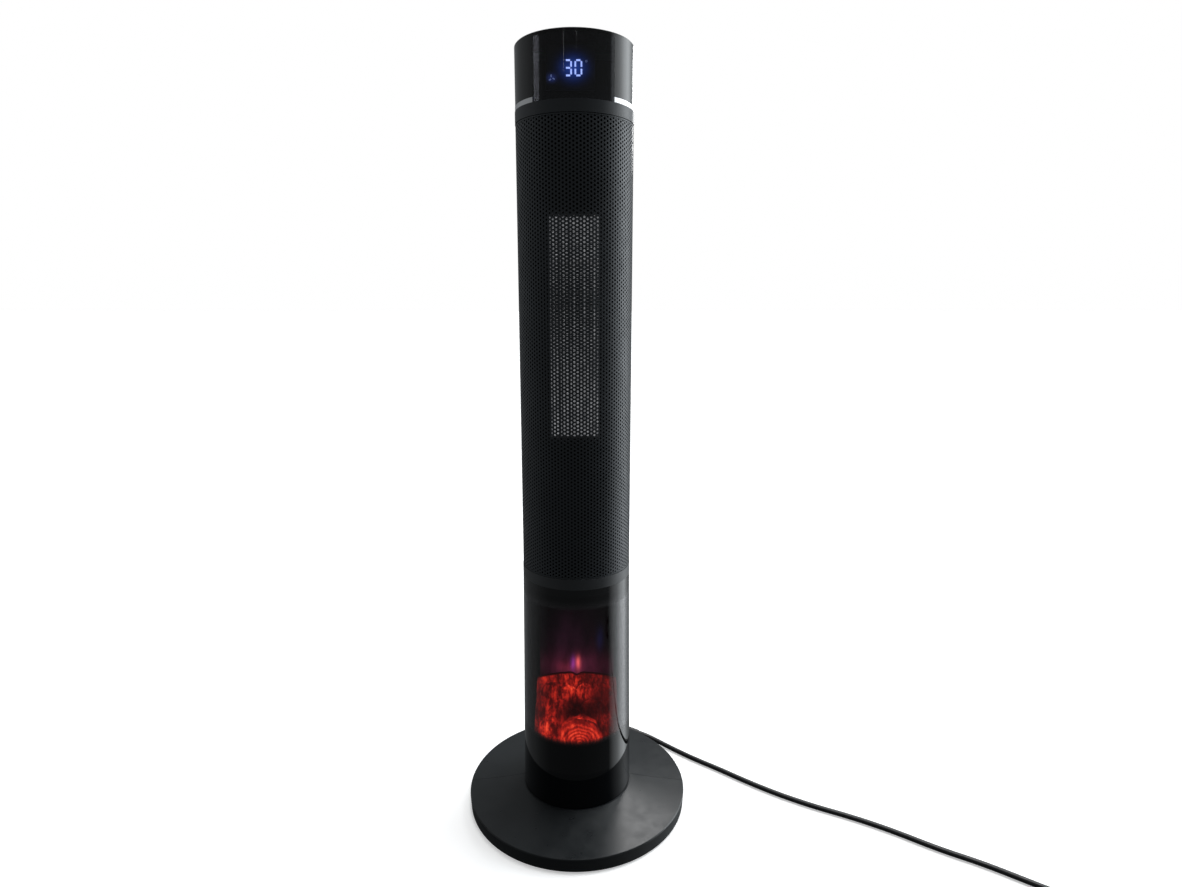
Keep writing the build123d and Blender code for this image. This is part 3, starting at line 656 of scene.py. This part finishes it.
# ================================================================ ember bed
# Coals of the bed: x, y, z of the middle, and three half-sizes, in millimetres.
COALS = [
    (5, -50, 121, 28, 16, 25), (-33, -42, 126, 15, 15, 22), (37, -40, 128, 13, 14, 19),
    (-20, -30, 146, 18, 13, 15), (22, -28, 148, 17, 13, 14), (-46, -24, 140, 10, 14, 26),
    (47, -22, 142, 9, 14, 24), (-2, -34, 138, 12, 11, 11), (-34, -14, 164, 16, 12, 15),
    (34, -14, 164, 16, 12, 15), (-12, -16, 162, 13, 11, 14), (12, -15, 163, 13, 11, 14),
]
BED_ARC = 0.0650            # radius of the bed's front edge, just inside the window
BED_HALF = 0.0570
BED_FLOOR = 0.1045
# The arched coal in front: middle of its rings, their spacing, in millimetres, and their squash.
ARCH_X, ARCH_Z = 5.0, 121.0
ARCH_PITCH = 4.6
ARCH_SQUASH = 1.12


def ember_surface(x, y):
    """Height of the heaped coals at a place on the bed, in metres."""
    side = x / MM
    crest = 188.0 - 6.0 * (side / 50.0) ** 2 - 3.5 * math.exp(-(side / 4.5) ** 2)
    share = min(max((y / MM + 62.0) / 58.0, 0.0), 1.0)
    rear = smooth_step((y / MM + 16.0) / 11.0)
    z = 113.0 + (crest - 22.0 - 113.0) * share ** 0.85 + 22.0 * rear
    for cx, cy, cz, rx, ry, rz in COALS:
        reach = ((side - cx) / rx) ** 2 + ((y / MM - cy) / ry) ** 2
        if reach < 1:
            z = max(z, min(cz + rz * math.sqrt(1 - reach), crest))
    ring = math.hypot(side - ARCH_X, ARCH_SQUASH * (z - ARCH_Z))
    grooves = 0.55 * math.sin(ring * 2 * math.pi / ARCH_PITCH) if y < -0.036 else 0.0
    coarse = noise.fractal(Vector((x, y, 0.3)) * 110.0, 1.0, 2.0, 5)
    return (z + grooves + 1.6 * coarse * (1 - rear)) * MM


def make_embers():
    """One lit casting: coals heaped from the window up to a rear edge with a dip."""
    low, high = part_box("ember_bed")
    wide, deep = 150, 90
    points = []
    faces = []
    for j in range(deep + 1):
        for i in range(wide + 1):
            x = BED_HALF * (2 * i / wide - 1)
            front = -math.sqrt(BED_ARC ** 2 - x * x)
            share = j / deep
            y = front * (1 - share)
            z = ember_surface(x, y)
            side = 1 - abs(x) / BED_HALF
            floor = BED_FLOOR + 0.010 * (1 - min(side / 0.5, 1.0)) ** 2
            rise = smooth_step(share / 0.07) * smooth_step(side / 0.04)
            points.append((x, y, min(floor + (z - floor) * rise, high[2] - 0.0005)))
    row = wide + 1
    for j in range(deep):
        for i in range(wide):
            a = j * row + i
            faces.append((a, a + 1, a + row + 1, a + row))
    bed = mesh_object("ember_coals", points, faces, smooth=True)
    bed.data.materials.append(ember_material())
    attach(bed, "tower")
    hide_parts("ember_bed")


def ember_material():
    """Lit resin coals: red glow under dark crusts, strongest on the arched coal in front."""
    net = Net("ember_glow")
    parts = net.split()
    wisps = net.noise(85.0, 9.0, 0.74, (1.5, 1.0, 0.6))
    strand = net.span(wisps, 0.0, 1.0, 0.42, 0.62)
    coarse = net.span(net.noise(30.0, 4.0, 0.6), 0.25, 1.25, 0.35, 0.65)

    def patch(x, z, wide, tall, weight):
        return net.math("MULTIPLY", net.blob(parts, x, z, wide, tall), weight)

    x = net.math("SUBTRACT", parts["X"], ARCH_X * MM)
    z = net.math("MULTIPLY", net.math("SUBTRACT", parts["Z"], ARCH_Z * MM), ARCH_SQUASH)
    far = net.math("SQRT", net.math("ADD", net.math("MULTIPLY", x, x), net.math("MULTIPLY", z, z)))
    far = net.math("ADD", far, net.span(net.noise(45.0, 4.0, 0.6), -0.0020, 0.0020))
    rings = net.math("SINE", net.math("MULTIPLY", far, 2 * math.pi / (ARCH_PITCH * MM)))
    arch = net.span(far, 1.0, 0.0, 0.0268, 0.0310)
    front = net.span(parts["Y"], 1.0, 0.0, -0.040, -0.034)
    ringed = net.span(rings, 0.62, 1.0, -1.0, 1.0)
    lit_arch = net.math("MULTIPLY", net.math("MULTIPLY", arch, front), ringed)
    top = net.math("MULTIPLY", net.span(parts["Z"], 0.0, 0.36, 0.150, 0.184), coarse)
    left_coal = patch(-0.036, 0.131, 0.016, 0.018, 0.62)
    heat = net.math("ADD", left_coal, patch(0.037, 0.137, 0.010, 0.014, 0.45))
    heat = net.math("ADD", heat, patch(0.000, 0.172, 0.016, 0.012, 0.30))
    heat = net.math("ADD", heat, patch(-0.030, 0.160, 0.016, 0.014, 0.18))
    heat = net.math("ADD", heat, top)
    heat = net.math("ADD", heat, 0.14)
    heat = net.math("SUBTRACT", heat, patch(-0.004, 0.152, 0.022, 0.009, 0.16))
    heat = net.math("MULTIPLY", heat, net.math("ADD", net.math("MULTIPLY", strand, 1.25), 0.30))
    heat = net.math("MULTIPLY", heat, net.span(parts["X"], 1.08, 0.66, 0.004, 0.030))
    lit_arch = net.math("MULTIPLY", lit_arch, net.math("ADD", net.math("MULTIPLY", strand, 0.55), 0.50))
    heat = net.math("MAXIMUM", heat, lit_arch)
    heat = net.math("MULTIPLY", heat, net.span(parts["Y"], 1.0, 0.0, -0.0052, -0.0036))
    colour = net.ramp(heat, [
        (0.0, (0.010, 0.0012, 0.0014)), (0.25, (0.085, 0.0045, 0.004)),
        (0.5, (0.30, 0.011, 0.008)), (0.8, (0.72, 0.035, 0.016)), (1.0, (1.0, 0.085, 0.035)),
    ])
    net.link(colour, net.shader.inputs["Emission Color"])
    net.set(Emission_Strength=2.7, Roughness=0.55, Specular_IOR_Level=0.15)
    crust = net.ramp(wisps, [(0.3, (0.010, 0.002, 0.002)), (0.7, (0.04, 0.005, 0.004))])
    net.link(crust, net.shader.inputs["Base Color"])
    net.bump(wisps, 0.6, 0.0010)
    return net.material


def flame_material():
    """Dark sheet with the small flame and its violet haze thrown on it."""
    net = Net("flame_screen_glow")
    parts = net.split()
    lick = net.noise(55.0, 4.0, 0.6, (1, 1, 0.35))
    flicker = net.span(lick, 0.4, 1.25)
    # Soft spots of light: x, z, width, height, colour.
    layers = [
        (0.0020, 0.1985, 0.0026, 0.0078, (1.00, 0.155, 0.100)),
        (0.0016, 0.1960, 0.0052, 0.0110, (0.34, 0.030, 0.070)),
        (-0.0055, 0.1975, 0.0030, 0.0088, (0.26, 0.040, 0.340)),
        (-0.0150, 0.1920, 0.0110, 0.0085, (0.13, 0.010, 0.020)),
        (0.0000, 0.1930, 0.0430, 0.0190, (0.100, 0.013, 0.034)),
        (-0.0060, 0.2250, 0.0330, 0.0460, (0.022, 0.006, 0.014)),
        (0.0318, 0.2330, 0.0042, 0.0150, (0.006, 0.008, 0.040)),
    ]
    total = None
    for x, z, wide, tall, colour in layers:
        amount = net.math("MULTIPLY", net.blob(parts, x, z, wide, tall), flicker)
        layer = net.ramp(amount, [(0.0, (0, 0, 0)), (1.0, colour)])
        total = layer if total is None else net.add(total, layer)
    net.link(total, net.shader.inputs["Emission Color"])
    sheet = net.ramp(net.noise(300.0), [(0.3, (0.004, 0.0035, 0.005)), (0.7, (0.008, 0.007, 0.009))])
    net.link(sheet, net.shader.inputs["Base Color"])
    net.set(Emission_Strength=1.9, Roughness=0.7, Specular_IOR_Level=0.1)
    net.bump(net.noise(600.0), 0.2, 0.00003)
    return net.material


# ================================================================ display
# Spill of light: x, z, width, height, colour, round the digits and round the fan sign.
DIGIT_SPILL = (0.0003, 0.9384, 0.0115, 0.0100, (0.022, 0.075, 0.42))
FAN_SPILL = (-0.0234, 0.9282, 0.0042, 0.0036, (0.030, 0.050, 0.20))


def display_material():
    """Dark module face with the blue spill of light round the digits and the fan sign."""
    net = Net("display_face")
    parts = net.split()
    spills = []
    for *spot, colour in (DIGIT_SPILL, FAN_SPILL):
        spills.append(net.ramp(net.blob(parts, *spot), [(0.0, (0, 0, 0)), (1.0, colour)]))
    net.link(net.add(*spills), net.shader.inputs["Emission Color"])
    face = net.ramp(net.noise(120.0), [(0.3, (0.004, 0.005, 0.008)), (0.7, (0.008, 0.010, 0.015))])
    net.link(face, net.shader.inputs["Base Color"])
    net.set(Emission_Strength=1.5, Roughness=0.4, Specular_IOR_Level=0.2)
    return net.material


def segment_material():
    """Digits glow almost white; the sign beside them is a dimmer blue."""
    net = Net("segment_light")
    parts = net.split()
    soft = net.noise(400.0, 2.0)
    bright = net.ramp(soft, [(0.3, (0.36, 0.48, 0.95)), (0.7, (0.44, 0.56, 1.0))])
    shade = net.span(parts["X"], 0.16, 1.0, -0.016, -0.014)
    small = net.span(parts["X"], 1.0, 0.10, 0.0110, 0.0120)
    made = net.node("ShaderNodeMix")
    made.data_type = "RGBA"
    net.link(net.math("MULTIPLY", shade, small), made.inputs[0])
    made.inputs[6].default_value = (0.0, 0.0, 0.0, 1)
    net.link(bright, made.inputs[7])
    net.link(made.outputs[2], net.shader.inputs["Emission Color"])
    net.link(bright, net.shader.inputs["Base Color"])
    net.set(Emission_Strength=3.2, Roughness=0.5)
    return net.material


# ================================================================ signs on the buttons
def arc_points(radius, start, end, count=18):
    """Points on a circle, angles in degrees from up, clockwise seen from above the button."""
    turns = [math.radians(start + (end - start) * i / count) for i in range(count + 1)]
    return [(radius * math.sin(t), radius * math.cos(t)) for t in turns]


# Lines of each sign, in millimetres from the button's middle.
SIGNS = {
    "power": [arc_points(2.1, 35, 325), [(0.0, 0.4), (0.0, 2.7)]],
    "heat": [
        [(x + 0.45 * math.sin(t * 1.05), t * 0.5 - 2.2) for t in range(10)] for x in (-1.6, 0.0, 1.6)
    ],
    "timer": [arc_points(2.4, 0, 360, 24), [(0.0, 1.5), (0.0, 0.0), (1.1, -0.6)]],
    "swing": [
        arc_points(2.5, -62, 62), [(-1.5, 1.9), (-2.4, 1.0), (-2.9, 2.1)],
        [(1.5, 1.9), (2.4, 1.0), (2.9, 2.1)], [(0.0, -1.6), (0.0, 1.2)],
    ],
    "flame": [[
        (0.0, 2.7), (1.2, 1.2), (1.9, -0.4), (1.3, -1.9), (0.0, -2.5), (-1.3, -1.9),
        (-1.9, -0.4), (-0.9, 0.7), (-0.6, 1.6), (0.0, 2.7),
    ]],
}
SIGN_HALF = 0.21            # half the line's width
SIGN_THICK = 0.00006
SIGN_LIFT = 0.00004         # above the button's face


def ribbon(points, faces, line, centre, z):
    """Add a thin raised line along points given in millimetres from the centre."""
    for (ax, ay), (bx, by) in zip(line, line[1:]):
        length = math.hypot(bx - ax, by - ay)
        ux, uy = (bx - ax) / length, (by - ay) / length
        over = SIGN_HALF * 0.6
        ends = ((ax - ux * over, ay - uy * over), (bx + ux * over, by + uy * over))
        base = len(points)
        for height in (z - SIGN_THICK, z):
            for (px, py), side in zip((ends[0], ends[1], ends[1], ends[0]), (1, 1, -1, -1)):
                x = centre[0] + (px - uy * SIGN_HALF * side) * MM
                y = centre[1] + (py + ux * SIGN_HALF * side) * MM
                points.append((x, y, height))
        faces.append((base + 4, base + 7, base + 6, base + 5))
        for k in range(4):
            n = (k + 1) % 4
            faces.append((base + k, base + k + 4, base + n + 4, base + n))


def make_signs():
    """A plain line sign printed on each button."""
    ink = moulded("sign_print", (0.42, 0.44, 0.46), 0.5, 0.05, 900.0, 0.00001)
    for name, lines in SIGNS.items():
        low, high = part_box("button_" + name)
        centre = ((low[0] + high[0]) / 2, (low[1] + high[1]) / 2)
        points = []
        faces = []
        for line in lines:
            ribbon(points, faces, line, centre, high[2] + SIGN_LIFT)
        sign = mesh_object("sign_" + name, points, faces)
        sign.data.materials.append(ink)
        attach(sign, "button_" + name)


# ================================================================ CAD nodes
def base_material():
    """Satin cover whose skirt below the rim is coarser and duller."""
    net = Net("base_satin")
    drift = net.noise(14.0, 4.0)
    tone = net.ramp(drift, [(0.35, (0.0095, 0.0112, 0.0125)), (0.65, (0.0125, 0.0145, 0.0160))])
    net.link(tone, net.shader.inputs["Base Color"])
    haze = net.span(net.noise(60.0, 5.0, 0.6), 0.27, 0.36)
    skirt = net.span(net.split()["Z"], 0.50, 0.0, 0.0172, 0.0182)
    net.link(net.math("ADD", haze, skirt), net.shader.inputs["Roughness"])
    net.bump(net.noise(1100.0, 2.0), 0.35, 0.00005)
    return net.material


def paint_nodes():
    """Every CAD node that stays shown gets its own finish."""
    # Painted highlight: the mid ring gets a lighter copy of the upper ring's trim, standing in for its
    # brighter lit look.
    mid_trim_painted_highlight = moulded("mid_trim_painted_highlight", (0.045, 0.048, 0.051), 0.42, 0.05, 1300.0, 0.00003)
    upper_trim = moulded("trim_satin", (0.030, 0.034, 0.039), 0.42, 0.05, 1300.0, 0.00003)
    head_satin = moulded("head_satin", (0.006, 0.0065, 0.0075), 0.17, 0.03, 1400.0, 0.00002)
    fire_matt = moulded(
        "fire_box_matt", (0.003, 0.003, 0.003), 0.85, 0.06, 800.0, 0.00005, Specular_IOR_Level=0.08)
    duct_dark = moulded(
        "duct_dark", (0.007, 0.0075, 0.008), 0.6, 0.06, 700.0, 0.00004, Specular_IOR_Level=0.25)
    shell = moulded("shell_satin", (0.012, 0.0125, 0.014), 0.45, 0.06, 1000.0, 0.00005)
    inner = moulded("inner_black", (0.008, 0.008, 0.0085), 0.6, 0.08, 800.0, 0.00006)
    nylon = moulded("nylon_white", (0.62, 0.60, 0.54), 0.45, 0.06, 500.0, 0.00003)
    board = moulded("board_green", (0.015, 0.075, 0.030), 0.38, 0.05, 1500.0, 0.00002)
    rubber = moulded("foot_rubber", (0.014, 0.014, 0.014), 0.8, 0.06, 900.0, 0.00008)
    vinyl = moulded("plug_vinyl", (0.010, 0.010, 0.011), 0.45, 0.08, 700.0, 0.00004)
    net_black = moulded("net_black", (0.010, 0.010, 0.010), 0.7, 0.05, 2500.0, 0.0002)
    finishes = [
        (base_material(), ["base_front_cover", "base_rear_cover"]),
        (shell, ["rear_shell", "filter_panel"]),
        (glossy("piano_black", (0.0025, 0.0028, 0.0034), 0.05), ["lower_rear_housing"]),
        (head_satin, ["head_shell"]),
        (glossy("top_gloss", (0.004, 0.004, 0.0045), 0.12), ["top_panel"]),
        (window_material(), ["window_lens"]),
        (smoked("display_smoke", (0.30, 0.31, 0.36), 0.008), ["display_lens"]),
        (mid_trim_painted_highlight, ["mid_ring"]),
        (upper_trim, ["upper_ring"]),
        (brushed("silver_band", (0.90, 0.90, 0.91), 0.42, (1, 1, 80)), ["silver_ring"]),
        (brushed("zinc_steel", (0.50, 0.51, 0.53), 0.35), [
            "base_plate", "base_screws", "shell_screws", "hub_clip",
            "swing_motor", "blower_motor", "flame_motor",
        ]),
        (brushed("black_screw", (0.10, 0.10, 0.11), 0.5), ["duct_screws"]),
        (rubber, ["rubber_feet"]),
        (nylon, [
            "swing_ring_gear", "swing_pinion", "thrust_washer", "pivot_hub", "blower_bearing",
        ]),
        (inner, [
            "foot_plate", "tip_switch", "tip_over_plunger", "switch_frame", "blower_housing",
            "blower_wheel", "thermal_cutout", "tact_switches",
        ]),
        (fire_matt, ["fire_box"]),
        (moulded("frame_dark", (0.016, 0.016, 0.017), 0.5), ["heater_frame"]),
        (duct_dark, ["duct_panel"]),
        (glossy("rocker_gloss", (0.006, 0.006, 0.006), 0.15), ["rocker_switch"]),
        (flame_material(), ["flame_screen"]),
        (brushed("rotor_foil", (0.85, 0.85, 0.86), 0.12), ["flame_rotor"]),
        (board, ["led_boards", "power_board", "control_board"]),
        (display_material(), ["display_module"]),
        (segment_material(), ["display_segments"]),
        (brushed("bar_metal", (0.74, 0.75, 0.77), 0.34, (60, 60, 1)), ["heater_bars"]),
        (net_black, ["filter_net"]),
        (vinyl, ["strain_relief", "plug"]),
        (brushed("pin_brass", (0.78, 0.62, 0.30), 0.25), ["plug_pins"]),
    ]
    for name in SIGNS:
        finish = glossy("button_gloss_" + name, (0.010, 0.010, 0.011), 0.14)
        finishes.append((finish, ["button_" + name]))
    for material, names in finishes:
        for name in names:
            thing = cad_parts[name]
            thing.data.materials.clear()
            thing.data.materials.append(material)


make_camera()
make_stage()
make_cord()
make_mesh_grille()
make_heater_core()
make_embers()
make_signs()
paint_nodes()
